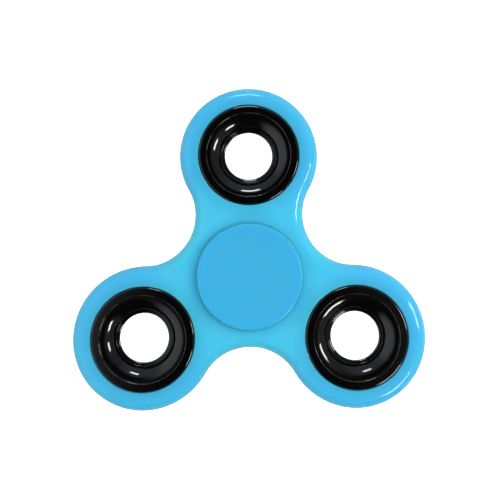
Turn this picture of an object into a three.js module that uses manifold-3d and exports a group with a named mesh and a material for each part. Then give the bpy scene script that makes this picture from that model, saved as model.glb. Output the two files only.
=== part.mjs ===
// Three-lobed fidget spinner: a moulded body that turns on a 608-size ball bearing between two
// finger caps, with a black ring-shaped counterweight in each lobe.
// Millimetres. The origin is on the spin axis at mid-thickness, +Z runs along the axis, and one
// lobe points along +Y.
import * as THREE from 'three';
import { mergeVertices } from 'three/addons/utils/BufferGeometryUtils.js';
import Module from 'manifold-3d';

// ---- Driving dimensions -------------------------------------------------------------------

// body
const LOBE_ANGLES = { top: 90, left: 210, right: 330 };   // degrees about +Z
const LOBE_PITCH_RADIUS = 26.18;    // spin axis to a lobe's centre
const LOBE_RADIUS = 15.2;           // outside of a lobe
const VALLEY_DEPTH_RADIUS = 15.3;   // spin axis to the deepest point between two lobes
const BODY_THICKNESS = 7;
const BODY_EDGE_RADIUS = 2.5;       // rounding of the outline's edges
const POCKET_MOUTH_CHAMFER = 0.3;
const SEAT_GAP = 0.05;              // radial gap left around a piece seated in the body

// bearing, 8 x 22 x 7 with seven balls
const BEARING_OUTER_RADIUS = 11;
const BEARING_BORE_RADIUS = 4;
const BEARING_WIDTH = 7;
const BALL_COUNT = 7;
const BALL_RADIUS = 3.969 / 2;
const BALL_PITCH_RADIUS = 7.5;
const GROOVE_RADIUS = 2.1;          // raceway groove across the race
const GROOVE_CLEARANCE = 0.07;      // ball to groove floor
const INNER_SHOULDER_RADIUS = 6.05;
const OUTER_SHOULDER_RADIUS = 8.95;
const RACE_CHAMFER = 0.35;

// ribbon cage of two riveted halves
const CAGE_INNER_RADIUS = 6.5;
const CAGE_OUTER_RADIUS = 8.5;
const CAGE_SHEET = 0.35;
const CAGE_POCKET_RADIUS = 2.12;
const CAGE_JOINT_GAP = 0.03;        // mid-plane to a half's web
const RIVET_RADIUS = 0.4;
const RIVET_HOLE_RADIUS = 0.47;
const RIVET_HEAD_RADIUS = 0.7;
const RIVET_HEAD_HEIGHT = 0.25;

// pressed-steel shields
const SHIELD_OUTER_RADIUS = 9.5;
const SHIELD_INNER_RADIUS = 6.3;
const SHIELD_SHEET = 0.3;
const SHIELD_RECESS = 0.35;         // shield's outer face below the bearing's face
const SHIELD_LIP_DEPTH = 0.5;       // height of the drawn inner edge

// counterweights, the same outside size as the bearing
const WEIGHT_RADIUS = 11;
const WEIGHT_THICKNESS = 7;
const WEIGHT_EDGE_CHAMFER = 0.5;
const WEIGHT_RIM_INNER_RADIUS = 9.15;
const WEIGHT_GROOVE_DEPTH = 0.25;   // ring-shaped groove just inside the rim
const FUNNEL_RADIUS = 8.4;          // mouth of the funnel, inside the groove
const FUNNEL_FOOT_RADIUS = 6;
const FUNNEL_BEND_RADIUS = 3.5;     // of the funnel's convex profile
const FUNNEL_MOUTH_SLOPE = 11;      // degrees
const LEDGE_DEPTH = 2.12;           // face to the ledge
const LEDGE_THICKNESS = 0.37;
const WEIGHT_HOLE_RADIUS = 5.22;    // inner edge of the ledge, the hole seen from above
const WEIGHT_BORE_RADIUS = 6.2;     // below the ledge

// finger caps
const CAP_RADIUS = 11.1;
const CAP_TOP = 5.5;                // mid-plane to the rim that the finger touches
const CAP_UNDERSIDE = 3.9;
const CAP_DISH_RADIUS = 8.9;
const CAP_DISH_DEPTH = 0.35;
const CAP_BOSS_RADIUS = 5.3;
const STEM_RADIUS = 3.95;
const STEM_BORE_RADIUS = 2.7;
const STEM_END = 0.25;              // mid-plane to the stem's end

// facets
const BEARING_SEGMENTS = 36;        // around every round piece that seats in the body
const CAP_SEGMENTS = 36;
const OUTLINE_ARC_SEGMENTS = 12;    // along a valley arc and along half a lobe arc, an even number
const EDGE_SEGMENTS = 3;            // across the body's edge rounding

// ---- Materials ----------------------------------------------------------------------------

const bluePlastic = new THREE.MeshStandardMaterial({ color: 0x4abeea, roughness: 0.3 });
const capPlastic = new THREE.MeshStandardMaterial({ color: 0x4abce8, roughness: 0.4 });
const blackEnamel = new THREE.MeshStandardMaterial({ color: 0x0b0b0c, roughness: 0.15, metalness: 0.2 });
const bearingSteel = new THREE.MeshStandardMaterial({ color: 0xb8babd, roughness: 0.2, metalness: 1 });
const cageSteel = new THREE.MeshStandardMaterial({ color: 0x9da0a3, roughness: 0.4, metalness: 1 });

// ---- Helpers ------------------------------------------------------------------------------

const wasm = await Module();
wasm.setup();

// Keeps only merged positions, so that neighbouring faces share their vertices.
function weld(geometry) {
  geometry.deleteAttribute('normal');
  geometry.deleteAttribute('uv');
  return mergeVertices(geometry, 1e-5);
}

// Turns a closed [radius, height] outline, listed anticlockwise, about +Z.
function turned(outline, segments) {
  const closed = [...outline, outline[0]];
  const points = closed.map(([radius, height]) => new THREE.Vector2(radius, height));
  return weld(new THREE.LatheGeometry(points, segments).rotateX(Math.PI / 2));
}

// The outline of the lower half of a profile that is the same above and below the mid-plane.
function mirrored(outline) {
  return outline.map(([radius, height]) => [radius, -height]).reverse();
}

// Points of an arc in a profile, both ends included; angles in degrees.
function arc(centreRadius, centreHeight, radius, from, to, steps) {
  const points = [];
  for (let i = 0; i <= steps; i++) {
    const angle = THREE.MathUtils.degToRad(from + (to - from) * i / steps);
    points.push([centreRadius + radius * Math.cos(angle), centreHeight + radius * Math.sin(angle)]);
  }
  return points;
}

function toSolid(geometry) {
  const mesh = new wasm.Mesh({
    numProp: 3,
    vertProperties: new Float32Array(geometry.attributes.position.array),
    triVerts: new Uint32Array(geometry.index.array),
  });
  return new wasm.Manifold(mesh);
}

function toGeometry(solid) {
  const mesh = solid.getMesh();
  const geometry = new THREE.BufferGeometry();
  geometry.setAttribute('position', new THREE.BufferAttribute(mesh.vertProperties, 3));
  geometry.setIndex(new THREE.BufferAttribute(mesh.triVerts, 1));
  return geometry;
}

function subtract(geometry, cutters) {
  let solid = toSolid(geometry);
  for (const cutter of cutters) {
    solid = solid.subtract(toSolid(cutter));
  }
  return toGeometry(solid);
}

function polar(radius, degrees) {
  const angle = THREE.MathUtils.degToRad(degrees);
  return new THREE.Vector3(radius * Math.cos(angle), radius * Math.sin(angle), 0);
}

const spinner = new THREE.Group();

function addPiece(name, geometry, material, parent = spinner) {
  geometry.computeVertexNormals();
  const mesh = new THREE.Mesh(geometry, material);
  mesh.name = name;
  parent.add(mesh);
  return mesh;
}

// ---- Body ---------------------------------------------------------------------------------

// Three lobe arcs joined by three concave valley arcs that are tangent to them.
function bodyOutline() {
  const rise = VALLEY_DEPTH_RADIUS - LOBE_PITCH_RADIUS / 2;
  const halfSpan = LOBE_PITCH_RADIUS * Math.sin(Math.PI / 3);
  const valleyRadius = (halfSpan ** 2 + rise ** 2 - LOBE_RADIUS ** 2) / (2 * (LOBE_RADIUS - rise));
  const valleyPitchRadius = VALLEY_DEPTH_RADIUS + valleyRadius;
  const tangent = Math.atan2(halfSpan, rise + valleyRadius);
  const shape = new THREE.Shape();
  for (const degrees of Object.values(LOBE_ANGLES)) {
    const out = THREE.MathUtils.degToRad(degrees);
    const lobe = polar(LOBE_PITCH_RADIUS, degrees);
    const valley = polar(valleyPitchRadius, degrees + 60);
    const lobeEnd = Math.PI / 3 + tangent;
    shape.absarc(lobe.x, lobe.y, LOBE_RADIUS, out - lobeEnd, out, false);
    shape.absarc(lobe.x, lobe.y, LOBE_RADIUS, out, out + lobeEnd, false);
    const inward = out + Math.PI / 3 + Math.PI;
    shape.absarc(valley.x, valley.y, valleyRadius, inward + tangent, inward - tangent, true);
  }
  return shape;
}

// A bore through the body with a chamfered mouth on both faces.
function pocketCutter() {
  const radius = BEARING_OUTER_RADIUS + SEAT_GAP;
  const face = BODY_THICKNESS / 2;
  const overrun = 1;
  const upper = [
    [radius, face - POCKET_MOUTH_CHAMFER],
    [radius + POCKET_MOUTH_CHAMFER + overrun, face + overrun],
    [0, face + overrun],
  ];
  return turned([...mirrored(upper), ...upper], BEARING_SEGMENTS);
}

function bodyGeometry() {
  const blank = weld(new THREE.ExtrudeGeometry(bodyOutline(), {
    depth: BODY_THICKNESS - 2 * BODY_EDGE_RADIUS,
    curveSegments: OUTLINE_ARC_SEGMENTS / 2,   // an arc in a shape gets twice this
    bevelEnabled: true,
    bevelThickness: BODY_EDGE_RADIUS,
    bevelSize: BODY_EDGE_RADIUS,
    bevelOffset: -BODY_EDGE_RADIUS,
    bevelSegments: EDGE_SEGMENTS,
  }).translate(0, 0, BODY_EDGE_RADIUS - BODY_THICKNESS / 2));
  const cutters = [pocketCutter()];
  for (const degrees of Object.values(LOBE_ANGLES)) {
    const centre = polar(LOBE_PITCH_RADIUS, degrees);
    cutters.push(pocketCutter().translate(centre.x, centre.y, 0));
  }
  return subtract(blank, cutters);
}

addPiece('spinner_body', bodyGeometry(), bluePlastic);

// ---- Counterweights -----------------------------------------------------------------------

// [radius, height] points of the funnel's convex profile, from its mouth to its foot.
function funnelProfile() {
  const steps = 3;
  const mouthHeight = WEIGHT_THICKNESS / 2 - WEIGHT_GROOVE_DEPTH;
  const mouthSlope = THREE.MathUtils.degToRad(FUNNEL_MOUTH_SLOPE);
  const points = [];
  for (let i = 0; i <= steps; i++) {
    const radius = FUNNEL_RADIUS + (FUNNEL_FOOT_RADIUS - FUNNEL_RADIUS) * i / steps;
    const slope = Math.asin(Math.sin(mouthSlope) + (FUNNEL_RADIUS - radius) / FUNNEL_BEND_RADIUS);
    const fall = FUNNEL_BEND_RADIUS * (Math.cos(mouthSlope) - Math.cos(slope));
    points.push([radius, mouthHeight - fall]);
  }
  return points;
}

// Both faces have a flat rim, a shallow groove and a convex funnel; the upper funnel ends on a thin
// ledge around the hole and the lower one on the bore.
function weightGeometry() {
  const face = WEIGHT_THICKNESS / 2;
  const ledge = face - LEDGE_DEPTH;
  const ledgeUnderside = ledge - LEDGE_THICKNESS;
  const rimAndFunnel = [
    [WEIGHT_RADIUS, face - WEIGHT_EDGE_CHAMFER],
    [WEIGHT_RADIUS - WEIGHT_EDGE_CHAMFER, face],
    [WEIGHT_RIM_INNER_RADIUS, face],
    [WEIGHT_RIM_INNER_RADIUS - 0.1, face - WEIGHT_GROOVE_DEPTH],
    ...funnelProfile(),
  ];
  const lip = [
    [FUNNEL_FOOT_RADIUS - 0.05, ledge],
    [WEIGHT_HOLE_RADIUS + 0.25, ledge],
    [WEIGHT_HOLE_RADIUS, ledge - 0.2],
    [WEIGHT_HOLE_RADIUS, ledgeUnderside],
    [WEIGHT_BORE_RADIUS, ledgeUnderside],
  ];
  const lowerFoot = [WEIGHT_BORE_RADIUS, -ledge];
  const lowerSide = mirrored(rimAndFunnel).slice(1);
  return turned([lowerFoot, ...lowerSide, ...rimAndFunnel, ...lip], BEARING_SEGMENTS);
}

for (const [side, degrees] of Object.entries(LOBE_ANGLES)) {
  const weight = addPiece(`counterweight_${side}`, weightGeometry(), blackEnamel);
  weight.position.copy(polar(LOBE_PITCH_RADIUS, degrees));
}

// ---- Bearing ------------------------------------------------------------------------------

function outerRaceGeometry() {
  const face = BEARING_WIDTH / 2;
  const seat = SHIELD_OUTER_RADIUS + SEAT_GAP;
  const seatFloor = face - SHIELD_RECESS - SHIELD_SHEET - SEAT_GAP;
  const centre = BALL_PITCH_RADIUS + BALL_RADIUS + GROOVE_CLEARANCE - GROOVE_RADIUS;
  const reach = THREE.MathUtils.radToDeg(Math.acos((OUTER_SHOULDER_RADIUS - centre) / GROOVE_RADIUS));
  const upper = [
    [BEARING_OUTER_RADIUS, face - RACE_CHAMFER],
    [BEARING_OUTER_RADIUS - RACE_CHAMFER, face],
    [seat, face],
    [seat, seatFloor],
    [OUTER_SHOULDER_RADIUS, seatFloor],
  ];
  const groove = arc(centre, 0, GROOVE_RADIUS, reach, -reach, 4);
  return turned([...upper, ...groove, ...mirrored(upper)], BEARING_SEGMENTS);
}

function innerRaceGeometry() {
  const face = BEARING_WIDTH / 2;
  const centre = BALL_PITCH_RADIUS - BALL_RADIUS - GROOVE_CLEARANCE + GROOVE_RADIUS;
  const reach = THREE.MathUtils.radToDeg(Math.acos((centre - INNER_SHOULDER_RADIUS) / GROOVE_RADIUS));
  const groove = arc(centre, 0, GROOVE_RADIUS, 180 + reach, 180 - reach, 4);
  const upper = [
    [INNER_SHOULDER_RADIUS, face],
    [BEARING_BORE_RADIUS + RACE_CHAMFER, face],
    [BEARING_BORE_RADIUS, face - RACE_CHAMFER],
  ];
  return turned([...groove, ...upper, ...mirrored(upper)], BEARING_SEGMENTS);
}

// A flat ring with a drawn inner edge that stops just clear of the inner race.
function shieldGeometry() {
  const top = BEARING_WIDTH / 2 - SHIELD_RECESS;
  return turned([
    [SHIELD_OUTER_RADIUS, top - SHIELD_SHEET],
    [SHIELD_OUTER_RADIUS, top],
    [SHIELD_INNER_RADIUS, top],
    [SHIELD_INNER_RADIUS, top - SHIELD_LIP_DEPTH],
    [SHIELD_INNER_RADIUS + SHIELD_SHEET, top - SHIELD_LIP_DEPTH],
    [SHIELD_INNER_RADIUS + SHIELD_SHEET, top - SHIELD_SHEET],
  ], BEARING_SEGMENTS);
}

// Stations along one cage pitch, as [offset along the pitch circle, height] pairs for the faces
// next to the balls and away from them: half round a ball, then along the web to the next.
function cageStations() {
  const steps = 6;
  const near = CAGE_POCKET_RADIUS;
  const far = CAGE_POCKET_RADIUS + CAGE_SHEET;
  const nearWeb = CAGE_JOINT_GAP;
  const farWeb = CAGE_JOINT_GAP + CAGE_SHEET;
  const nearStart = Math.asin(nearWeb / near);
  const farStart = Math.asin(farWeb / far);
  const stations = [];
  for (let i = 0; i <= steps; i++) {
    const nearAngle = nearStart + (Math.PI - 2 * nearStart) * i / steps;
    const farAngle = farStart + (Math.PI - 2 * farStart) * i / steps;
    stations.push({
      near: [-near * Math.cos(nearAngle), near * Math.sin(nearAngle)],
      far: [-far * Math.cos(farAngle), far * Math.sin(farAngle)],
    });
  }
  return stations;
}

// One half of the ribbon cage, above the mid-plane, with its rivet holes.
function cageHalfGeometry() {
  const corners = [];
  for (let ball = 0; ball < BALL_COUNT; ball++) {
    const middle = 2 * Math.PI * ball / BALL_COUNT;
    for (const { near, far } of cageStations()) {
      const nearAngle = middle + Math.asin(near[0] / BALL_PITCH_RADIUS);
      const farAngle = middle + Math.asin(far[0] / BALL_PITCH_RADIUS);
      corners.push([CAGE_INNER_RADIUS, nearAngle, near[1]]);
      corners.push([CAGE_OUTER_RADIUS, nearAngle, near[1]]);
      corners.push([CAGE_OUTER_RADIUS, farAngle, far[1]]);
      corners.push([CAGE_INNER_RADIUS, farAngle, far[1]]);
    }
  }
  const positions = corners.flatMap(([radius, angle, height]) => [
    radius * Math.cos(angle), radius * Math.sin(angle), height,
  ]);
  const index = [];
  for (let first = 0; first < corners.length; first += 4) {
    const next = (first + 4) % corners.length;
    for (let side = 0; side < 4; side++) {
      const turn = (side + 1) % 4;
      index.push(first + side, next + turn, first + turn);
      index.push(first + side, next + side, next + turn);
    }
  }
  const ribbon = new THREE.BufferGeometry();
  ribbon.setAttribute('position', new THREE.Float32BufferAttribute(positions, 3));
  ribbon.setIndex(index);
  const drills = rivetPlaces().map((place) => {
    const drill = new THREE.CylinderGeometry(RIVET_HOLE_RADIUS, RIVET_HOLE_RADIUS, 2, 8);
    return weld(drill.rotateX(Math.PI / 2).translate(place.x, place.y, 0));
  });
  return subtract(ribbon, drills);
}

function rivetPlaces() {
  const places = [];
  for (let i = 0; i < BALL_COUNT; i++) {
    places.push(polar(BALL_PITCH_RADIUS, 360 * (i + 0.5) / BALL_COUNT));
  }
  return places;
}

function rivetGeometry() {
  const seat = CAGE_JOINT_GAP + CAGE_SHEET + 0.03;
  const top = seat + RIVET_HEAD_HEIGHT;
  const upper = [
    [RIVET_RADIUS, seat],
    [RIVET_HEAD_RADIUS, seat],
    [RIVET_HEAD_RADIUS * 0.6, top],
    [0, top],
  ];
  return turned([...mirrored(upper), ...upper], 8);
}

function flipped(geometry) {
  return geometry.rotateX(Math.PI);
}

addPiece('bearing_outer_race', outerRaceGeometry(), bearingSteel);
addPiece('bearing_inner_race', innerRaceGeometry(), bearingSteel);
addPiece('bearing_shield_upper', shieldGeometry(), bearingSteel);
addPiece('bearing_shield_lower', flipped(shieldGeometry()), bearingSteel);
addPiece('bearing_cage_upper', cageHalfGeometry(), cageSteel);
addPiece('bearing_cage_lower', flipped(cageHalfGeometry()), cageSteel);

for (let i = 0; i < BALL_COUNT; i++) {
  const ball = addPiece(`bearing_ball_${i + 1}`, weld(new THREE.SphereGeometry(BALL_RADIUS, 10, 7)),
    bearingSteel);
  ball.position.copy(polar(BALL_PITCH_RADIUS, 360 * i / BALL_COUNT));
}

rivetPlaces().forEach((place, i) => {
  const rivet = addPiece(`cage_rivet_${i + 1}`, rivetGeometry(), cageSteel);
  rivet.position.copy(place);
});

// ---- Finger caps --------------------------------------------------------------------------

// A dished disc on a boss that bears on the inner race, with a hollow stem half the bearing deep.
function capGeometry() {
  const edge = 0.35;
  const lowerEdge = 0.2;
  const bossFace = BEARING_WIDTH / 2 + SEAT_GAP;
  const dish = [0.33, 0.67].map((part) => [
    CAP_DISH_RADIUS * part, CAP_TOP - CAP_DISH_DEPTH * (1 - part ** 2),
  ]);
  return turned([
    [0, CAP_UNDERSIDE - 0.7],
    [STEM_BORE_RADIUS, CAP_UNDERSIDE - 0.7],
    [STEM_BORE_RADIUS, STEM_END],
    [STEM_RADIUS - RACE_CHAMFER, STEM_END],
    [STEM_RADIUS, STEM_END + RACE_CHAMFER],
    [STEM_RADIUS, bossFace],
    [CAP_BOSS_RADIUS, bossFace],
    [CAP_BOSS_RADIUS, CAP_UNDERSIDE],
    [CAP_RADIUS - lowerEdge, CAP_UNDERSIDE],
    [CAP_RADIUS, CAP_UNDERSIDE + lowerEdge],
    ...arc(CAP_RADIUS - edge, CAP_TOP - edge, edge, 0, 90, 3),
    [CAP_DISH_RADIUS, CAP_TOP],
    ...dish.reverse(),
    [0, CAP_TOP - CAP_DISH_DEPTH],
  ], CAP_SEGMENTS);
}

addPiece('finger_cap_top', capGeometry(), capPlastic);
addPiece('finger_cap_bottom', flipped(capGeometry()), capPlastic);

export default spinner;
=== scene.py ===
"""Looks of the fidget spinner: every CAD piece is replaced by a smooth, finished mesh of the same
size and place, with procedural materials. Lengths in this script are millimetres until they reach
a mesh, an object or a light, which are in metres."""
import math

import bpy
from mathutils import Matrix, Vector
from mathutils.geometry import delaunay_2d_cdt


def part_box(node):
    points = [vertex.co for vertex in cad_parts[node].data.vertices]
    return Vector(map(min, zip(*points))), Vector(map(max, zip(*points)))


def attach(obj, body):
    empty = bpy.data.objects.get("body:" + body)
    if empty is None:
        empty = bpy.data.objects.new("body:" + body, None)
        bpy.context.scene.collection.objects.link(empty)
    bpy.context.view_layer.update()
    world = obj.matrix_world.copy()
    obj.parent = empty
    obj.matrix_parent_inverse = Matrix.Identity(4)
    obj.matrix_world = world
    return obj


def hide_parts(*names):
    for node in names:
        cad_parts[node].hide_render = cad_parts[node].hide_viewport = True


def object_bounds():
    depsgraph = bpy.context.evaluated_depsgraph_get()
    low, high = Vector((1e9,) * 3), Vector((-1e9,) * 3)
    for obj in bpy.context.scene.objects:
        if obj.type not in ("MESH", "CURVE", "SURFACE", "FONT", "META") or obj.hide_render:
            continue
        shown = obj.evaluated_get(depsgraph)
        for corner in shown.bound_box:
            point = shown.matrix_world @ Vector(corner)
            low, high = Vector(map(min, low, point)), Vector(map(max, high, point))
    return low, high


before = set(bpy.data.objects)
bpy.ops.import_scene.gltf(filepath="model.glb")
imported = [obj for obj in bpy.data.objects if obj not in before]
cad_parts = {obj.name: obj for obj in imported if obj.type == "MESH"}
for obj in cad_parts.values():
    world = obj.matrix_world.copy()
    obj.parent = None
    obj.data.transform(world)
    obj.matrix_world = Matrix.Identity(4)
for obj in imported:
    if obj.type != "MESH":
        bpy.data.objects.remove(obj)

cad_low, cad_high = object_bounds()
MM = 0.001

# ---- Sizes read from the frame ---------------------------------------------------------------


def box_mm(node):
    low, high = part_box(node)
    return Vector(low) / MM, Vector(high) / MM


def centre_of(node):
    low, high = box_mm(node)
    return (low + high) / 2


def radius_of(node):
    low, high = box_mm(node)
    return (high.x - low.x) / 2


SIDES = ("top", "left", "right")
LOBE_CENTRES = [centre_of(f"counterweight_{side}").to_2d() for side in SIDES]
LOBE_PITCH_RADIUS = LOBE_CENTRES[0].length
BODY_HIGH = box_mm("spinner_body")[1]
BODY_FACE = BODY_HIGH.z
LOBE_RADIUS = BODY_HIGH.y - LOBE_CENTRES[0].y
WEIGHT_RADIUS = radius_of("counterweight_top")
WEIGHT_FACE = box_mm("counterweight_top")[1].z
CAP_RADIUS = radius_of("finger_cap_top")
CAP_TOP = box_mm("finger_cap_top")[1].z
STEM_END = box_mm("finger_cap_top")[0].z
BEARING_RADIUS = radius_of("bearing_outer_race")
BEARING_FACE = box_mm("bearing_outer_race")[1].z
INNER_SHOULDER = radius_of("bearing_inner_race")
SHIELD_RADIUS = radius_of("bearing_shield_upper")
SHIELD_TOP = box_mm("bearing_shield_upper")[1].z

# ---- Driving dimensions that the boxes don't give --------------------------------------------

VALLEY_DEPTH_RADIUS = 15.3     # spin axis to the deepest point between two lobes
BODY_EDGE_RADIUS = 2.5
FLAT_INSET = BODY_EDGE_RADIUS + 0.25
PARTING_GROOVE_DEPTH = 0.035
POCKET_RADIUS = BEARING_RADIUS + 0.03
POCKET_EDGE_RADIUS = 0.22
POCKET_MOUTH_RADIUS = POCKET_RADIUS + POCKET_EDGE_RADIUS
POCKET_BRIM_RADIUS = POCKET_MOUTH_RADIUS + 0.08     # where a pocket's wall joins the flat face

WEIGHT_RIM_INNER_RADIUS = 9.15
WEIGHT_GROOVE_DEPTH = 0.25
FUNNEL_RADIUS = 8.4
FUNNEL_FOOT_RADIUS = 6.0
FUNNEL_BEND_RADIUS = 3.5       # of its convex profile
FUNNEL_MOUTH_SLOPE = math.radians(11)
WEIGHT_BORE_RADIUS = 6.2       # below the ledge
LEDGE_DEPTH = 2.12
LEDGE_THICKNESS = 0.37
WEIGHT_HOLE_RADIUS = 5.22
LIP_ROUNDING = Vector((0.72, 0.3))      # across and down, where the ledge turns into the hole

BALL_COUNT = 7
BALL_RADIUS = 3.969 / 2
BALL_PITCH_RADIUS = 7.5
GROOVE_RADIUS = 2.06
GROOVE_CLEARANCE = 0.03
OUTER_SHOULDER = 8.95
BEARING_BORE_RADIUS = 4.0
SHIELD_INNER_RADIUS = 6.3
SHIELD_SHEET = 0.28
SHIELD_LIP_DEPTH = 0.5
CAGE_INNER_RADIUS = 6.5
CAGE_OUTER_RADIUS = 8.5
CAGE_POCKET_RADIUS = 2.12
CAGE_SHEET = 0.35
CAGE_JOINT_GAP = 0.03          # mid-plane to a half's web
CAGE_EDGE = 0.1                # rounding of the ribbon's edges
RIVET_RADIUS = 0.4
RIVET_HEAD_RADIUS = 0.7
RIVET_HEAD_BASE = 0.41         # mid-plane to the underside of a head
RIVET_HEAD_TOP = 0.66

CAP_DISH_RADIUS = 8.9
CAP_DISH_DEPTH = 0.35
CAP_UNDERSIDE = 3.9
CAP_BOSS_RADIUS = 5.3          # presses on the inner race only
STEM_RADIUS = 3.95
STEM_BORE_RADIUS = 2.7

# ---- Meshes ----------------------------------------------------------------------------------


def corner(point, before, after, radius, steps):
    """The arc that rounds one corner of a profile, with a close support point on either side."""
    to_before, to_after = (before - point), (after - point)
    a, b = to_before.normalized(), to_after.normalized()
    half = math.acos(max(-1.0, min(1.0, a.dot(b)))) / 2
    reach = radius / math.tan(half)
    centre = point + (a + b).normalized() * (radius / math.sin(half))
    start, end = point + a * reach, point + b * reach
    spread = math.pi - 2 * half
    support = 0.12 * radius
    u = (start - centre).normalized()
    v = (end - centre).normalized()
    arc = []
    for i in range(steps + 1):
        t = spread * i / steps
        out = (u * math.sin(spread - t) + v * math.sin(t)) / math.sin(spread)
        arc.append(centre + out * radius)
    return [start + a * support, *arc, end + b * support]


def rounded(points, closed, steps=6):
    """A profile from (radius, height, corner radius) points; a corner radius of 0 stays sharp."""
    flat = [Vector(p[:2]) for p in points]
    path = []
    for i, (_, _, radius) in enumerate(points):
        inside = closed or 0 < i < len(points) - 1
        if radius and inside:
            path += corner(flat[i], flat[i - 1], flat[(i + 1) % len(flat)], radius, steps)
        else:
            path.append(flat[i])
    return path


def mirrored(points):
    return [(r, -z, f) for r, z, f in reversed(points)]


def new_piece(name, vertices, faces, body, slot, material, stands_for, place=(0, 0, 0)):
    """Makes a smooth-shaded piece from millimetres, ties it to its CAD body and hides the CAD node it
    stands for. The slot is not used.
    """
    mesh = bpy.data.meshes.new(name)
    mesh.from_pydata([Vector(v) * MM for v in vertices], [], faces)
    mesh.validate()
    mesh.polygons.foreach_set("use_smooth", [True] * len(mesh.polygons))
    mesh.materials.append(material)
    piece = bpy.data.objects.new(name, mesh)
    bpy.context.scene.collection.objects.link(piece)
    piece.location = Vector(place) * MM
    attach(piece, body)
    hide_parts(stands_for)
    return piece


def turned(profile, segments):
    """Vertices and faces of a profile turned about Z: a closed ring, or a solid whose profile
    starts and ends on the axis."""
    on_axis = profile[0][0] == 0
    inner = profile[1:-1] if on_axis else profile
    vertices = []
    for i in range(segments):
        angle = 2 * math.pi * i / segments
        c, s = math.cos(angle), math.sin(angle)
        vertices += [(r * c, r * s, z) for r, z in inner]
    count = len(inner)
    rows = count - 1 if on_axis else count
    faces = []
    for i in range(segments):
        here, there = i * count, (i + 1) % segments * count
        for k in range(rows):
            n = (k + 1) % count
            faces.append((here + k, there + k, there + n, here + n))
    if on_axis:
        first, last = len(vertices), len(vertices) + 1
        vertices += [(0, 0, profile[0][1]), (0, 0, profile[-1][1])]
        for i in range(segments):
            here, there = i * count, (i + 1) % segments * count
            faces.append((first, there, here))
            faces.append((last, here + count - 1, there + count - 1))
    return vertices, faces


def upside_down(vertices, faces):
    return [(x, -y, -z) for x, y, z in vertices], faces


# ---- Materials -------------------------------------------------------------------------------


def mix_colours(tree, factor, a, b):
    """Blends two colours, each a tuple or another node's output."""
    node = tree.nodes.new("ShaderNodeMix")
    node.data_type = "RGBA"
    tree.links.new(factor, node.inputs["Factor"])
    for index, value in ((6, a), (7, b)):       # the mix node's colour sockets
        if isinstance(value, tuple):
            node.inputs[index].default_value = (*value, 1)
        else:
            tree.links.new(value, node.inputs[index])
    return node.outputs[2]


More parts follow.
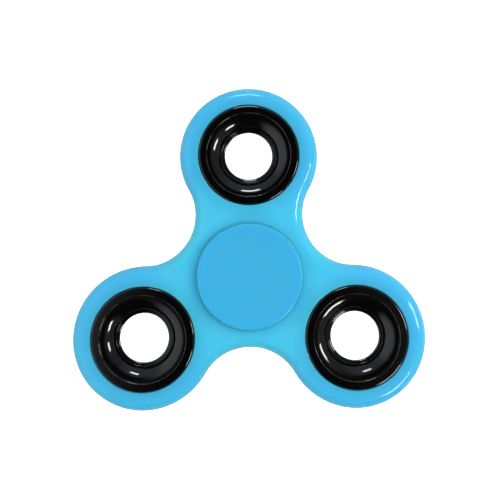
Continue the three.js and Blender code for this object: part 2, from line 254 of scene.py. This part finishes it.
class Nodes:
    """A material's node tree, with short ways to add and join nodes."""

    def __init__(self, name):
        self.material = bpy.data.materials.new(name)
        self.material.use_nodes = True
        self.tree = self.material.node_tree
        self.shader = self.tree.nodes["Principled BSDF"]
        where = self.add("ShaderNodeTexCoord")
        scale = self.add("ShaderNodeVectorMath", operation="SCALE")
        scale.inputs["Scale"].default_value = 1 / MM
        self.join(where.outputs["Object"], scale.inputs[0])
        self.position = scale.outputs[0]      # in millimetres

    def add(self, kind, **settings):
        node = self.tree.nodes.new(kind)
        for key, value in settings.items():
            setattr(node, key, value)
        return node

    def join(self, output, socket):
        self.tree.links.new(output, socket)

    def noise(self, per_mm, detail=2.0, rough=0.5, vector=None):
        node = self.add("ShaderNodeTexNoise")
        node.inputs["Scale"].default_value = per_mm
        node.inputs["Detail"].default_value = detail
        node.inputs["Roughness"].default_value = rough
        self.join(vector or self.position, node.inputs["Vector"])
        return node.outputs["Fac"]

    def math(self, operation, a, b=None, clamp=False):
        node = self.add("ShaderNodeMath", operation=operation, use_clamp=clamp)
        for socket, value in zip(node.inputs, (a, b)):
            if value is None:
                continue
            if isinstance(value, (int, float)):
                socket.default_value = value
            else:
                self.join(value, socket)
        return node.outputs[0]

    def spread(self, value, low, high, out_low, out_high):
        """Maps low..high to out_low..out_high and clamps."""
        node = self.add("ShaderNodeMapRange")
        self.join(value, node.inputs["Value"])
        ends = {"From Min": low, "From Max": high, "To Min": out_low, "To Max": out_high}
        for key, number in ends.items():
            node.inputs[key].default_value = number
        return node.outputs["Result"]

    def mix(self, factor, a, b):
        return mix_colours(self.tree, factor, a, b)

    def axis_radius(self):
        """Distance from the piece's own Z axis, in millimetres."""
        split = self.add("ShaderNodeSeparateXYZ")
        self.join(self.position, split.inputs[0])
        x, y = split.outputs[0], split.outputs[1]
        squares = self.math("ADD", self.math("MULTIPLY", x, x), self.math("MULTIPLY", y, y))
        return self.math("SQRT", squares)

    def scaled(self, colour, factor):
        node = self.add("ShaderNodeVectorMath", operation="SCALE")
        self.join(colour, node.inputs[0])
        node.inputs["Scale"].default_value = factor
        return node.outputs[0]

    def clear_of(self, centres, near, far):
        """0 at a near distance from any of the centres, 1 beyond the far distance from all."""
        flat = self.add("ShaderNodeVectorMath", operation="MULTIPLY")
        self.join(self.position, flat.inputs[0])
        flat.inputs[1].default_value = (1, 1, 0)
        total = None
        for centre in centres:
            reach = self.add("ShaderNodeVectorMath", operation="DISTANCE")
            self.join(flat.outputs[0], reach.inputs[0])
            reach.inputs[1].default_value = (centre.x, centre.y, 0)
            clear = self.spread(reach.outputs["Value"], near, far, 0.0, 1.0)
            total = self.math("MULTIPLY", total, clear) if total else clear
        return total

    def turning_lines(self, per_mm):
        """Noise that is the same all round the axis, as a lathe or a polishing wheel leaves."""
        split = self.add("ShaderNodeSeparateXYZ")
        self.join(self.position, split.inputs[0])
        place = self.add("ShaderNodeCombineXYZ")
        self.join(self.axis_radius(), place.inputs[0])
        self.join(split.outputs[2], place.inputs[1])
        return self.noise(per_mm, 3.0, 0.6, place.outputs[0])

    def bump(self, layers):
        """Stacks (height, micrometres) layers into one normal."""
        normal = None
        for height, micrometres in layers:
            node = self.add("ShaderNodeBump")
            node.inputs["Strength"].default_value = 1.0
            node.inputs["Distance"].default_value = micrometres * 1e-6
            self.join(height, node.inputs["Height"])
            if normal:
                self.join(normal, node.inputs["Normal"])
            normal = node.outputs["Normal"]
        self.join(normal, self.shader.inputs["Normal"])

    def scratches(self, angle, per_mm, threshold):
        """Sparse fine lines along one direction, 1 on a line and 0 elsewhere."""
        turn = self.add("ShaderNodeMapping")
        turn.inputs["Rotation"].default_value = (0, 0, angle)
        turn.inputs["Scale"].default_value = (0.06, 1, 1)
        self.join(self.position, turn.inputs["Vector"])
        lines = self.noise(per_mm, 1.0, 0.4, turn.outputs[0])
        return self.spread(lines, threshold, threshold + 0.05, 0.0, 1.0)


def painted_shade_near_pockets(n, colour, outer_pockets):
    """Painted shade: darkens a colour next to the pockets, most of all between the centre pocket and
    an outer one."""
    centre_pocket = Vector((0, 0))
    shade, shade_reach = 0.88, POCKET_RADIUS + 3
    bridge_shade, bridge_reach = 0.7, POCKET_RADIUS + 4.5
    clear = n.clear_of([centre_pocket, *outer_pockets], POCKET_RADIUS, shade_reach)
    colour = n.mix(clear, n.scaled(colour, shade), colour)
    clear_of_outer = n.clear_of(outer_pockets, POCKET_RADIUS, bridge_reach)
    clear_of_centre = n.clear_of([centre_pocket], POCKET_RADIUS, bridge_reach)
    bridge = n.math("MULTIPLY", n.math("SUBTRACT", 1, clear_of_outer),
                    n.math("SUBTRACT", 1, clear_of_centre))
    return n.mix(bridge, colour, n.scaled(colour, bridge_shade))


def moulded_plastic(name, near, far, roughness, scatter, outer_pockets=()):
    """Glossy, slightly cloudy moulded plastic with orange peel, faint smudges and hairlines. Near
    and far are each a (radius, colour) pair, and the colour drifts from one to the other: painted
    shade, darker and bluer away from the axis."""
    n = Nodes(name)
    s = n.shader.inputs
    # painted shade: darker and bluer away from the axis
    colour = n.mix(n.spread(n.axis_radius(), near[0], far[0], 0.0, 1.0), near[1], far[1])
    cloud = n.spread(n.noise(0.09, 2.0), 0.35, 0.65, 0.0, 0.05)
    colour = n.mix(cloud, colour, (0.04, 0.3, 0.6))
    # painted shade next to the pockets
    if outer_pockets:
        colour = painted_shade_near_pockets(n, colour, outer_pockets)
    n.join(colour, s["Base Color"])
    smudge = n.spread(n.noise(0.16, 4.0, 0.65), 0.4, 0.7, -0.01, 0.03)
    hairlines = n.math("ADD", n.scratches(0.5, 2.2, 0.72), n.scratches(-1.1, 1.8, 0.73), True)
    marks = n.math("MULTIPLY", hairlines, 0.03)
    n.join(n.math("ADD", n.math("ADD", smudge, roughness), marks, True), s["Roughness"])
    s["Subsurface Weight"].default_value = scatter
    s["Subsurface Radius"].default_value = (0.25, 0.7, 1.0)
    s["Subsurface Scale"].default_value = 2.4 * MM
    s["IOR"].default_value = 1.49
    s["Specular IOR Level"].default_value = 0.42
    n.bump([(n.noise(0.7, 1.0), 1.0), (n.noise(9.0, 2.0), 0.1)])
    return n.material


def black_enamel(name):
    """Deep gloss black over a turned casting, with soft waviness, faint turning lines and dust.
    A broken light hairline on the rim's sharp inner edge is a painted highlight."""
    n = Nodes(name)
    s = n.shader.inputs
    dust = n.spread(n.noise(1.3, 5.0, 0.7), 0.62, 0.8, 0.0, 1.0)
    colour = n.mix(dust, (0.0008, 0.0008, 0.0008), (0.003, 0.003, 0.0028))
    # painted highlight: a broken light hairline on the rim's inner edge
    off_edge = n.math("ABSOLUTE", n.math("SUBTRACT", n.axis_radius(), WEIGHT_RIM_INNER_RADIUS))
    painted_edge_highlight = n.spread(n.noise(0.5, 3.0, 0.6), 0.42, 0.62, 0.15, 1.0)
    painted_edge_highlight = n.math("MULTIPLY", painted_edge_highlight, n.spread(off_edge, 0.05, 0.1, 1.0, 0.0))
    n.join(n.mix(painted_edge_highlight, colour, (0.07, 0.062, 0.05)), s["Base Color"])
    n.join(n.spread(n.noise(0.35, 3.0, 0.6), 0.35, 0.7, 0.05, 0.11), s["Roughness"])
    s["IOR"].default_value = 1.6
    s["Coat Weight"].default_value = 0.3
    s["Coat Roughness"].default_value = 0.05
    n.bump([(n.noise(0.45, 2.0), 9.0), (n.turning_lines(3.2), 1.6)])
    return n.material


def steel(name, colour, roughness, lines_per_mm):
    """Ground steel with fine lines round its axis and faint patches of oil."""
    n = Nodes(name)
    s = n.shader.inputs
    oil = n.spread(n.noise(0.4, 3.0), 0.4, 0.65, 0.0, 1.0)
    n.join(n.mix(oil, colour, tuple(c * 0.86 for c in colour)), s["Base Color"])
    s["Metallic"].default_value = 1.0
    lines = n.turning_lines(lines_per_mm)
    streaks = n.spread(lines, 0.3, 0.7, -0.05, 0.08)
    n.join(n.math("ADD", streaks, roughness, True), s["Roughness"])
    n.bump([(lines, 0.8)])
    return n.material


# the near and far colours hold painted shade, darker and bluer away from the axis
BODY_PLASTIC = moulded_plastic("body_plastic", (15, (0.104, 0.705, 0.975)),
                               (24, (0.097, 0.628, 0.995)), 0.035, 1.0, LOBE_CENTRES)
CAP_PLASTIC = moulded_plastic("cap_plastic", (7, (0.063, 0.535, 0.845)),
                              (11, (0.06, 0.528, 0.9)), 0.18, 0.6)
ENAMEL = black_enamel("weight_enamel")
RACE_STEEL = steel("race_steel", (0.56, 0.57, 0.58), 0.16, 14.0)
SHIELD_STEEL = steel("shield_steel", (0.5, 0.51, 0.52), 0.28, 9.0)
CAGE_STEEL = steel("cage_steel", (0.42, 0.43, 0.44), 0.34, 6.0)

# ---- Body ------------------------------------------------------------------------------------


def polar(radius, angle):
    return Vector((math.cos(angle), math.sin(angle))) * radius


# a valley's arc is tangent to both lobes next to it
RISE = VALLEY_DEPTH_RADIUS - LOBE_PITCH_RADIUS / 2
SPAN = LOBE_PITCH_RADIUS * math.sin(math.pi / 3)
VALLEY_RADIUS = (SPAN ** 2 + RISE ** 2 - LOBE_RADIUS ** 2) / (2 * (LOBE_RADIUS - RISE))
VALLEY_PITCH_RADIUS = VALLEY_DEPTH_RADIUS + VALLEY_RADIUS


def body_outline(lobe_steps, valley_steps):
    """Points of the outline at its widest and their outward normals, anticlockwise."""
    tangent = math.atan2(SPAN, RISE + VALLEY_RADIUS)
    reach = math.pi / 3 + tangent
    outline = []
    for k in range(3):
        out = math.pi / 2 + 2 * math.pi * k / 3
        lobe = polar(LOBE_PITCH_RADIUS, out)
        for i in range(lobe_steps):
            normal = polar(1, out - reach + 2 * reach * i / lobe_steps)
            outline.append((lobe + normal * LOBE_RADIUS, normal))
        valley = polar(VALLEY_PITCH_RADIUS, out + math.pi / 3)
        inward = out + math.pi / 3 + math.pi
        for i in range(valley_steps):
            normal = -polar(1, inward + tangent - 2 * tangent * i / valley_steps)
            outline.append((valley - normal * VALLEY_RADIUS, normal))
    return outline


def edge_section():
    """Across the outline's edge, (inset, height) from the top face round to the bottom one, with
    a fine parting groove at mid-thickness."""
    upper = [(FLAT_INSET, BODY_FACE)]
    steps = 14
    centre = BODY_FACE - BODY_EDGE_RADIUS
    for i in range(steps + 1):
        angle = math.pi / 2 * (1 - i / steps)
        upper.append((BODY_EDGE_RADIUS * (1 - math.cos(angle)),
                      centre + BODY_EDGE_RADIUS * math.sin(angle)))
    upper += [(0.0, centre - 0.1), (0.0, 0.09), (PARTING_GROOVE_DEPTH, 0.045)]
    lower = [(inset, -height) for inset, height in reversed(upper)]
    return upper + [(PARTING_GROOVE_DEPTH, 0.0)] + lower


def depth_inside(point):
    """How far a point is inside the outline, with the body folded to half a lobe and half a
    valley."""
    turn = 2 * math.pi / 3
    angle = math.atan2(point.y, point.x) - math.pi / 2
    folded = polar(point.length, abs((angle + turn / 2) % turn - turn / 2))
    lobe = Vector((LOBE_PITCH_RADIUS, 0))
    valley = polar(VALLEY_PITCH_RADIUS, math.pi / 3)
    if (valley - lobe).cross(folded - lobe) < 0:
        return LOBE_RADIUS - (folded - lobe).length
    return (folded - valley).length - VALLEY_RADIUS


def face_grid(holes, spacing):
    """Points of a triangular grid on the flat between the rounded edge and the holes."""
    reach = LOBE_PITCH_RADIUS + LOBE_RADIUS
    steps = int(reach / spacing) + 1
    margin = 0.6 * spacing
    points = []
    for j in range(-steps, steps + 1):
        for i in range(-steps, steps + 1):
            p = Vector((i + 0.5 * (j % 2), j * math.sin(math.pi / 3))) * spacing
            off_holes = all((p - hole).length > POCKET_BRIM_RADIUS + margin for hole in holes)
            if off_holes and depth_inside(p) > FLAT_INSET + margin:
                points.append(p)
    return points


def pocket_wall():
    """Down a pocket, (radius, height) from the top face to the bottom one, with rounded mouths."""
    wall = [(POCKET_BRIM_RADIUS, BODY_FACE)]
    steps = 5
    for i in range(steps + 1):
        angle = math.pi / 2 * i / steps
        wall.append((POCKET_MOUTH_RADIUS - POCKET_EDGE_RADIUS * math.sin(angle),
                     BODY_FACE - POCKET_EDGE_RADIUS * (1 - math.cos(angle))))
    wall.append((POCKET_RADIUS, BODY_FACE - 2 * POCKET_EDGE_RADIUS))
    return wall + [(r, -z) for r, z in reversed(wall)]


def add_rings(vertices, faces, rings, inward):
    """Adds a band of faces through rings of points, and returns its first and last rings as
    vertex numbers. The faces look away from the axis, or inward to it."""
    first, count = len(vertices), len(rings[0])
    for ring in rings:
        vertices += ring
    for k in range(len(rings) - 1):
        a, b = first + k * count, first + (k + 1) * count
        for i in range(count):
            j = (i + 1) % count
            face = (a + i, a + j, b + j, b + i) if inward else (a + i, b + i, b + j, a + j)
            faces.append(face)
    end = len(vertices)
    return list(range(first, first + count)), list(range(end - count, end))


def add_flat(vertices, faces, loops, holes, grid, height, up):
    """Adds one flat face between its outline, which is the first loop, and the holes."""
    known = [i for loop in loops for i in loop]
    flat = [Vector(vertices[i][:2]) for i in known] + grid
    edges = []
    start = 0
    for loop in loops:
        edges += [(start + i, start + (i + 1) % len(loop)) for i in range(len(loop))]
        start += len(loop)
    first = len(vertices)
    vertices += [(p.x, p.y, height) for p in grid]
    number = known + list(range(first, first + len(grid)))
    inside_outline = 1
    points, _, triangles, source, _, _ = delaunay_2d_cdt(flat, edges, [], inside_outline, 1e-7)
    for triangle in triangles:
        middle = sum((points[i] for i in triangle), Vector((0, 0))) / 3
        if all((middle - hole).length >= POCKET_BRIM_RADIUS for hole in holes):
            face = [number[source[i][0]] for i in triangle]
            faces.append(tuple(face if up else reversed(face)))


def make_body():
    vertices, faces = [], []
    outline = body_outline(96, 44)
    edge = [[(*(p - n * inset), height) for p, n in outline] for inset, height in edge_section()]
    top, bottom = add_rings(vertices, faces, edge, inward=False)
    top_loops, bottom_loops = [top], [bottom]

    steps = 144
    around = [2 * math.pi * i / steps for i in range(steps)]
    holes = [Vector((0, 0)), *LOBE_CENTRES]
    for hole in holes:
        wall = [[(*(hole + polar(r, angle)), z) for angle in around] for r, z in pocket_wall()]
        top, bottom = add_rings(vertices, faces, wall, inward=True)
        top_loops.append(top)
        bottom_loops.append(bottom)

    grid = face_grid(holes, 1.2)
    add_flat(vertices, faces, top_loops, holes, grid, BODY_FACE, up=True)
    add_flat(vertices, faces, bottom_loops, holes, grid, -BODY_FACE, up=False)
    new_piece("spinner_body_shell", vertices, faces, "spinner", "body_plastic", BODY_PLASTIC,
              "spinner_body")


make_body()

# ---- Counterweights --------------------------------------------------------------------------


def funnel():
    """The funnel's (radius, depth) points from its mouth to its foot, on one convex arc."""
    steps = 40
    points = []
    for i in range(steps + 1):
        radius = FUNNEL_RADIUS + (FUNNEL_FOOT_RADIUS - FUNNEL_RADIUS) * i / steps
        along = (FUNNEL_RADIUS - radius) / FUNNEL_BEND_RADIUS
        slope = math.asin(math.sin(FUNNEL_MOUTH_SLOPE) + along)
        drop = FUNNEL_BEND_RADIUS * (math.cos(FUNNEL_MOUTH_SLOPE) - math.cos(slope))
        points.append((radius, WEIGHT_GROOVE_DEPTH + drop))
    return points


def weight_profile():
    """A flat rim, a groove and a funnel on either face, and one thin ledge around the hole."""
    face = WEIGHT_FACE
    ledge = face - LEDGE_DEPTH
    underside = ledge - LEDGE_THICKNESS
    rim = [
        (WEIGHT_RADIUS, face, 0.5),
        (WEIGHT_RIM_INNER_RADIUS, face, 0.09),
        (WEIGHT_RIM_INNER_RADIUS - 0.06, face - WEIGHT_GROOVE_DEPTH, 0.02),
    ]
    slope = [(radius, face - depth, 0) for radius, depth in funnel()]
    steps = 12
    turns = [math.pi / 2 * i / steps for i in range(steps + 1)]
    lip = [(WEIGHT_HOLE_RADIUS + LIP_ROUNDING.x * (1 - math.sin(turn)),
            ledge - LIP_ROUNDING.y * (1 - math.cos(turn)), 0) for turn in turns]
    lip += [
        (WEIGHT_HOLE_RADIUS, underside, 0.04),
        (WEIGHT_BORE_RADIUS, underside, 0.05),
    ]
    lower_foot = [(WEIGHT_BORE_RADIUS, -ledge, 0.05)]
    lower = lower_foot + mirrored(rim + slope)[1:]
    return rounded(rim + slope + lip + lower, closed=True)


for side, centre in zip(SIDES, LOBE_CENTRES):
    vertices, faces = turned(weight_profile(), 192)
    new_piece(f"ring_weight_{side}", vertices, faces, "spinner", "weight_enamel", ENAMEL,
              f"counterweight_{side}", (centre.x, centre.y, 0))

# ---- Finger caps -----------------------------------------------------------------------------


def cap_profile():
    """From the bore in the stem, out along the underside, and in over the dish."""
    bore_end = CAP_UNDERSIDE - 0.7
    boss_end = BEARING_FACE + 0.05
    dish = []
    for i in range(9, 0, -1):
        t = i / 10
        dish.append((CAP_DISH_RADIUS * t, CAP_TOP - CAP_DISH_DEPTH * (1 - t ** 2), 0))
    points = [
        (0, bore_end, 0),
        (STEM_BORE_RADIUS, bore_end, 0.3),
        (STEM_BORE_RADIUS, STEM_END, 0.2),
        (STEM_RADIUS, STEM_END, 0.3),
        (STEM_RADIUS, boss_end, 0.1),
        (CAP_BOSS_RADIUS, boss_end, 0.15),
        (CAP_BOSS_RADIUS, CAP_UNDERSIDE, 0.15),
        (CAP_RADIUS, CAP_UNDERSIDE, 0.2),
        (CAP_RADIUS, CAP_TOP, 0.4),
        (CAP_DISH_RADIUS, CAP_TOP, 0.6),
        *dish,
        (0, CAP_TOP - CAP_DISH_DEPTH, 0),
    ]
    return rounded(points, closed=False)


cap = turned(cap_profile(), 192)
new_piece("cap_top", *cap, "grip", "cap_plastic", CAP_PLASTIC, "finger_cap_top")
new_piece("cap_bottom", *upside_down(*cap), "grip", "cap_plastic", CAP_PLASTIC, "finger_cap_bottom")

# ---- Bearing ---------------------------------------------------------------------------------


def arc(centre, radius, start, end, steps):
    """Arc points about (centre, 0) in a profile; angles in radians."""
    turns = [start + (end - start) * i / steps for i in range(steps + 1)]
    return [(centre + radius * math.cos(turn), radius * math.sin(turn), 0) for turn in turns]


def outer_race_profile():
    seat = SHIELD_RADIUS + 0.03
    floor_z = SHIELD_TOP - 0.35
    centre = BALL_PITCH_RADIUS + BALL_RADIUS + GROOVE_CLEARANCE - GROOVE_RADIUS
    reach = math.acos((OUTER_SHOULDER - centre) / GROOVE_RADIUS)
    upper = [
        (BEARING_RADIUS, BEARING_FACE, 0.35),
        (seat, BEARING_FACE, 0.1),
        (seat, floor_z, 0.05),
        (OUTER_SHOULDER, floor_z, 0.1),
    ]
    groove = arc(centre, GROOVE_RADIUS, reach, -reach, 20)
    return rounded(upper + groove + mirrored(upper), closed=True)


def inner_race_profile():
    centre = BALL_PITCH_RADIUS - BALL_RADIUS - GROOVE_CLEARANCE + GROOVE_RADIUS
    reach = math.acos((centre - INNER_SHOULDER) / GROOVE_RADIUS)
    upper = [
        (INNER_SHOULDER, BEARING_FACE, 0.15),
        (BEARING_BORE_RADIUS, BEARING_FACE, 0.35),
    ]
    groove = arc(centre, GROOVE_RADIUS, math.pi + reach, math.pi - reach, 20)
    return rounded(groove + upper + mirrored(upper), closed=True)


def shield_profile():
    """A pressed ring: a rim in the race's seat, a raised flat and a drawn inner lip."""
    rim_top = SHIELD_TOP - 0.12
    rim_base = SHIELD_TOP - SHIELD_SHEET - 0.03
    lip_end = SHIELD_TOP - SHIELD_LIP_DEPTH
    lip_radius = SHIELD_INNER_RADIUS + 0.2
    return rounded([
        (SHIELD_RADIUS, rim_base, 0.05),
        (SHIELD_RADIUS, rim_top, 0.1),
        (8.9, rim_top, 0.1),
        (8.7, SHIELD_TOP, 0.1),
        (SHIELD_INNER_RADIUS, SHIELD_TOP, 0.2),
        (SHIELD_INNER_RADIUS, lip_end, 0.04),
        (lip_radius, lip_end, 0.04),
        (lip_radius, SHIELD_TOP - SHIELD_SHEET, 0.08),
        (8.5, SHIELD_TOP - SHIELD_SHEET, 0.1),
        (8.7, rim_base, 0.02),
    ], closed=True, steps=4)


new_piece("outer_race", *turned(outer_race_profile(), 144), "spinner", "bearing_steel", RACE_STEEL,
          "bearing_outer_race")
new_piece("inner_race", *turned(inner_race_profile(), 144), "grip", "bearing_steel", RACE_STEEL,
          "bearing_inner_race")
shield = turned(shield_profile(), 144)
new_piece("shield_upper", *shield, "spinner", "bearing_steel", SHIELD_STEEL, "bearing_shield_upper")
new_piece("shield_lower", *upside_down(*shield), "spinner", "bearing_steel", SHIELD_STEEL,
          "bearing_shield_lower")


def make_ball(number):
    """A ball as a cube of quads pushed out to a sphere, so that it has no poles."""
    steps = 10
    index = {}
    vertices, faces = [], []

    def vertex(x, y, z):
        key = (x, y, z)
        if key not in index:
            index[key] = len(vertices)
            warp = [math.tan((c / steps * 2 - 1) * math.pi / 4) for c in key]
            vertices.append(Vector(warp).normalized() * BALL_RADIUS)
        return index[key]

    for axis in range(3):
        for end in (0, steps):
            for i in range(steps):
                for j in range(steps):
                    face = []
                    for u, v in ((i, j), (i + 1, j), (i + 1, j + 1), (i, j + 1)):
                        place = [0, 0, 0]
                        place[axis] = end
                        place[(axis + 1) % 3] = u
                        place[(axis + 2) % 3] = v
                        face.append(vertex(*place))
                    faces.append(tuple(face if end else reversed(face)))
    centre = centre_of(f"bearing_ball_{number}")
    new_piece(f"ball_{number}", vertices, faces, f"ball_{number}", "bearing_steel", RACE_STEEL,
              f"bearing_ball_{number}", centre)


for number in range(1, BALL_COUNT + 1):
    make_ball(number)


def ribbon_face(radius, height):
    """One face of a cage half over a ball and the web after it, as (angle, height) points: an arc
    of a radius about the ball, which starts and ends at the web's height."""
    steps = 20
    start = math.asin(height / radius)
    points = []
    for i in range(steps + 1):
        turn = start + (math.pi - 2 * start) * i / steps
        along = -radius * math.cos(turn) / BALL_PITCH_RADIUS
        points.append((math.asin(along), radius * math.sin(turn)))
    arc_end = points[-1][0]
    web = 2 * math.pi / BALL_COUNT - 2 * arc_end
    return points + [(arc_end + web * t, height) for t in (0.25, 0.5, 0.75)]


def cage_half():
    """A ribbon with rounded edges: pockets over the balls, and flat webs with rivets between."""
    near = ribbon_face(CAGE_POCKET_RADIUS, CAGE_JOINT_GAP)
    far = ribbon_face(CAGE_POCKET_RADIUS + CAGE_SHEET, CAGE_JOINT_GAP + CAGE_SHEET)
    inside, outside = CAGE_INNER_RADIUS, CAGE_OUTER_RADIUS
    # across the ribbon, (radius, how far from the near to the far face)
    section = [
        (inside + CAGE_EDGE, 0), (outside - CAGE_EDGE, 0), (outside, 0.3), (outside, 0.7),
        (outside - CAGE_EDGE, 1), (inside + CAGE_EDGE, 1), (inside, 0.7), (inside, 0.3),
    ]
    vertices, faces = [], []
    for ball in range(BALL_COUNT):
        middle = 2 * math.pi * ball / BALL_COUNT
        for (near_angle, near_z), (far_angle, far_z) in zip(near, far):
            for r, t in section:
                angle = middle + near_angle + (far_angle - near_angle) * t
                z = near_z + (far_z - near_z) * t
                vertices.append((r * math.cos(angle), r * math.sin(angle), z))
    ring, count = len(section), BALL_COUNT * len(near)
    for i in range(count):
        here, there = i * ring, (i + 1) % count * ring
        for k in range(ring):
            n = (k + 1) % ring
            faces.append((here + k, there + k, there + n, here + n))
    return vertices, faces


half = cage_half()
new_piece("cage_upper", *half, "ball_cage", "cage_steel", CAGE_STEEL, "bearing_cage_upper")
new_piece("cage_lower", *upside_down(*half), "ball_cage", "cage_steel", CAGE_STEEL,
          "bearing_cage_lower")

rivet_upper = [
    (RIVET_RADIUS, RIVET_HEAD_BASE, 0.02),
    (RIVET_HEAD_RADIUS, RIVET_HEAD_BASE, 0.05),
    (RIVET_RADIUS + 0.05, RIVET_HEAD_TOP, 0.15),
    (0, RIVET_HEAD_TOP, 0),
]
rivet = turned(rounded(mirrored(rivet_upper) + rivet_upper, closed=False), 32)
for number in range(1, BALL_COUNT + 1):
    node = f"cage_rivet_{number}"
    new_piece(f"rivet_{number}", *rivet, "ball_cage", "cage_steel", CAGE_STEEL, node, centre_of(node))

# ---- Camera ----------------------------------------------------------------------------------

camera_data = bpy.data.cameras.new("camera")
camera_data.sensor_width = 36
camera_data.lens = 36
camera_data.shift_y = -0.09
camera_data.clip_start = 0.005
camera = bpy.data.objects.new("camera", camera_data)
tilt = Vector((0.078, -0.014, -0.007))
camera.matrix_world = (Matrix.Translation(Vector((-1.35, 6.78, 110.76)) * MM)
                       @ Matrix.Rotation(tilt.length, 4, tilt))
bpy.context.scene.collection.objects.link(camera)
bpy.context.scene.camera = camera

# ---- Light and floor -------------------------------------------------------------------------


def aimed_lamp(name, azimuth, elevation, distance, size, radiance, colour):
    """An area lamp facing the object from a direction and distance; size is (width, height) in
    metres, and radiance is what a mirror facing it would show."""
    data = bpy.data.lights.new(name, "AREA")
    data.shape = "RECTANGLE"
    data.size, data.size_y = size
    data.energy = radiance * math.pi * data.size * data.size_y
    data.color = colour
    a, e = math.radians(azimuth), math.radians(elevation)
    out = Vector((math.cos(a) * math.cos(e), math.sin(a) * math.cos(e), math.sin(e)))
    item = bpy.data.objects.new(name, data)
    item.rotation_mode = "QUATERNION"
    item.rotation_quaternion = out.to_track_quat("Z", "Y")
    item.location = out * distance
    bpy.context.scene.collection.objects.link(item)
    return item


def strip_lamp(name, azimuth, radiance, colour):
    """A small lamp that only shows as a highlight."""
    item = aimed_lamp(name, azimuth, 46, 0.6, (0.14, 0.11), radiance, colour)
    item.visible_diffuse = False


def fill_lamp(name, azimuth, elevation, distance, width, radiance, colour):
    """A broad soft lamp that only lights surfaces and doesn't show in their gloss."""
    item = aimed_lamp(name, azimuth, elevation, distance, (width, width), radiance, colour)
    item.visible_glossy = False


strip_lamp("strip_right", 0, 15, (0.97, 0.97, 1.0))
strip_lamp("strip_lower_right", -45, 15, (1.0, 0.98, 0.95))
strip_lamp("strip_top", 91, 12, (0.95, 0.98, 1.0))
fill_lamp("fill_above", 0, 75, 0.6, 0.9, 1.33, (1.0, 0.98, 1.02))
fill_lamp("fill_right", 10, 42, 0.35, 0.255, 1.45, (1.0, 0.98, 1.02))


def make_world():
    """Dim panels at the left, far side and right, dark overhead, and white where the camera looks
    past the floor."""
    world = bpy.data.worlds.new("studio")
    bpy.context.scene.world = world
    world.use_nodes = True
    nodes, links = world.node_tree.nodes, world.node_tree.links
    background = nodes["Background"]
    where = nodes.new("ShaderNodeTexCoord")

    def facing(direction, low, high):
        """Rises from 0 to 1 as the cosine to a direction goes from low to high."""
        dot = nodes.new("ShaderNodeVectorMath")
        dot.operation = "DOT_PRODUCT"
        dot.inputs[1].default_value = Vector(direction).normalized()
        links.new(where.outputs["Generated"], dot.inputs[0])
        ramp = nodes.new("ShaderNodeMapRange")
        ramp.interpolation_type = "SMOOTHSTEP"
        ramp.inputs["From Min"].default_value = low
        ramp.inputs["From Max"].default_value = high
        links.new(dot.outputs["Value"], ramp.inputs["Value"])
        return ramp.outputs["Result"]

    sky = (0.02, 0.02, 0.02)
    for direction, low, high, colour in (
        ((-1, 0, 0.35), 0.45, 0.8, (0.6, 0.64, 0.66)),
        ((0, 1, 0.35), 0.55, 0.85, (0.28, 0.34, 0.42)),
        ((1, 0, 0.35), 0.45, 0.8, (0.2, 0.2, 0.19)),
    ):
        sky = mix_colours(world.node_tree, facing(direction, low, high), sky, colour)
    path = nodes.new("ShaderNodeLightPath")
    sky = mix_colours(world.node_tree, path.outputs["Is Camera Ray"], sky, (1.0, 1.0, 1.0))
    links.new(sky, background.inputs["Color"])


make_world()


def make_floor():
    """A plain white table that the lower cap rests on. Its glow keeps it white where the object
    shades it, and only the camera sees it: it doesn't light the object."""
    mesh = bpy.data.meshes.new("floor")
    z = cad_low.z - 0.02 * MM
    reach = 3                # metres
    corners = [(-reach, -reach, z), (reach, -reach, z), (reach, reach, z), (-reach, reach, z)]
    mesh.from_pydata(corners, [], [(0, 1, 2, 3)])
    material = bpy.data.materials.new("floor")
    material.use_nodes = True
    tree = material.node_tree
    shader = tree.nodes["Principled BSDF"].inputs
    shader["Base Color"].default_value = (0.8, 0.8, 0.8, 1)
    shader["Roughness"].default_value = 0.9
    shader["Specular IOR Level"].default_value = 0.1
    shader["Emission Color"].default_value = (1, 1, 1, 1)
    path = tree.nodes.new("ShaderNodeLightPath")
    tree.links.new(path.outputs["Is Camera Ray"], shader["Emission Strength"])
    mesh.materials.append(material)
    floor = bpy.data.objects.new("floor", mesh)
    bpy.context.scene.collection.objects.link(floor)


make_floor()
bpy.context.scene.view_settings.view_transform = "Standard"
bpy.context.scene.view_settings.look = "None"
